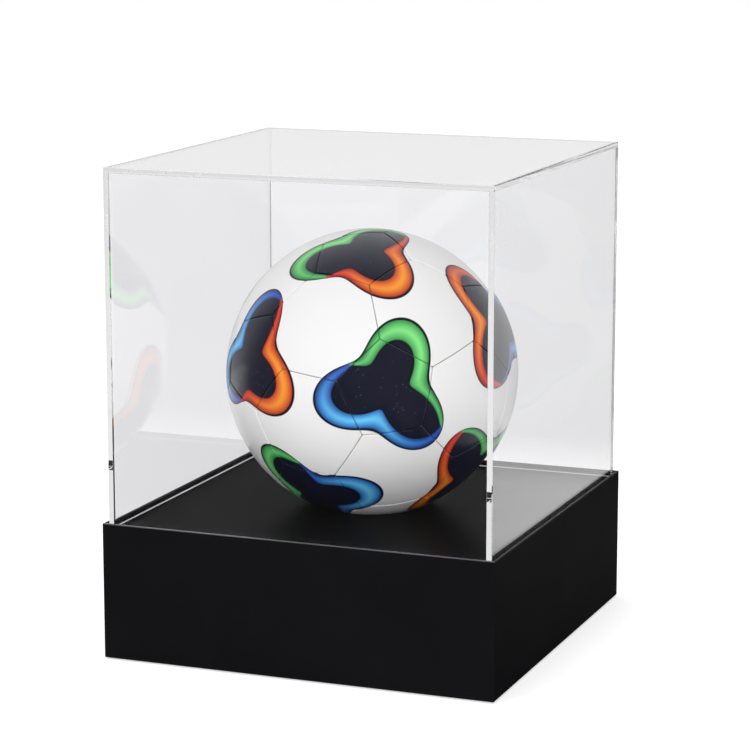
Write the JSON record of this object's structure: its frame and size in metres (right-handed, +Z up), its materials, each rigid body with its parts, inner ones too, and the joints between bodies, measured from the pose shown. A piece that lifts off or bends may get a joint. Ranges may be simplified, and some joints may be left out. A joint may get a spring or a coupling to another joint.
{
  "type": "football display case",
  "caption": "Clear five-sided acrylic cover that drops inside the lip of a black plinth, over a football held in a round seat cut through the recessed deck.",
  "frame": {"origin": "centre of the footprint, on the surface that the feet stand on", "axes": "+Z up, the front faces -Y, +X to the right seen from the front"},
  "size_m": [0.3076, 0.3076, 0.369],
  "materials": {
    "black_acrylic": "satin",
    "deck_acrylic": "satin",
    "bottom_acrylic": "satin",
    "joining_acrylic": "satin",
    "clear_acrylic": "polished",
    "foot_rubber": "matte",
    "screw_steel": "satin",
    "ball_white": "gloss",
    "ball_navy": "gloss",
    "carcass_fabric": "matte",
    "bladder_rubber": "matte",
    "valve_rubber": "matte"
  },
  "bodies": {
    "base": {"base_front_panel": "black_acrylic", "base_right_panel": "black_acrylic", "base_back_panel": "black_acrylic", "base_left_panel": "black_acrylic", "deck_panel": "deck_acrylic", "deck_strip_front": "joining_acrylic", "deck_strip_right": "joining_acrylic", "deck_strip_back": "joining_acrylic", "deck_strip_left": "joining_acrylic", "corner_block_front_left": "joining_acrylic", "corner_block_front_right": "joining_acrylic", "corner_block_back_right": "joining_acrylic", "corner_block_back_left": "joining_acrylic", "bottom_panel": "bottom_acrylic", "bottom_screws": "screw_steel", "foot_front_left": "foot_rubber", "foot_front_right": "foot_rubber", "foot_back_right": "foot_rubber", "foot_back_left": "foot_rubber"},
    "cover": {"cover_front_panel": "clear_acrylic", "cover_right_panel": "clear_acrylic", "cover_back_panel": "clear_acrylic", "cover_left_panel": "clear_acrylic", "cover_top_panel": "clear_acrylic"},
    "ball": {"ball_hexagon_panels": "ball_white", "ball_pentagon_panels": "ball_navy", "ball_carcass": "carcass_fabric", "ball_bladder": "bladder_rubber", "ball_valve": "valve_rubber"}
  },
  "joints": [
    {"name": "cover_lift", "type": "slide", "parent": "base", "child": "cover", "axis": [0, 0, 1], "range_m": [0, 0.24]},
    {"name": "ball_lift", "type": "slide", "parent": "base", "child": "ball", "axis": [0, 0, 1], "range_m": [0, 0.05]}
  ]
}
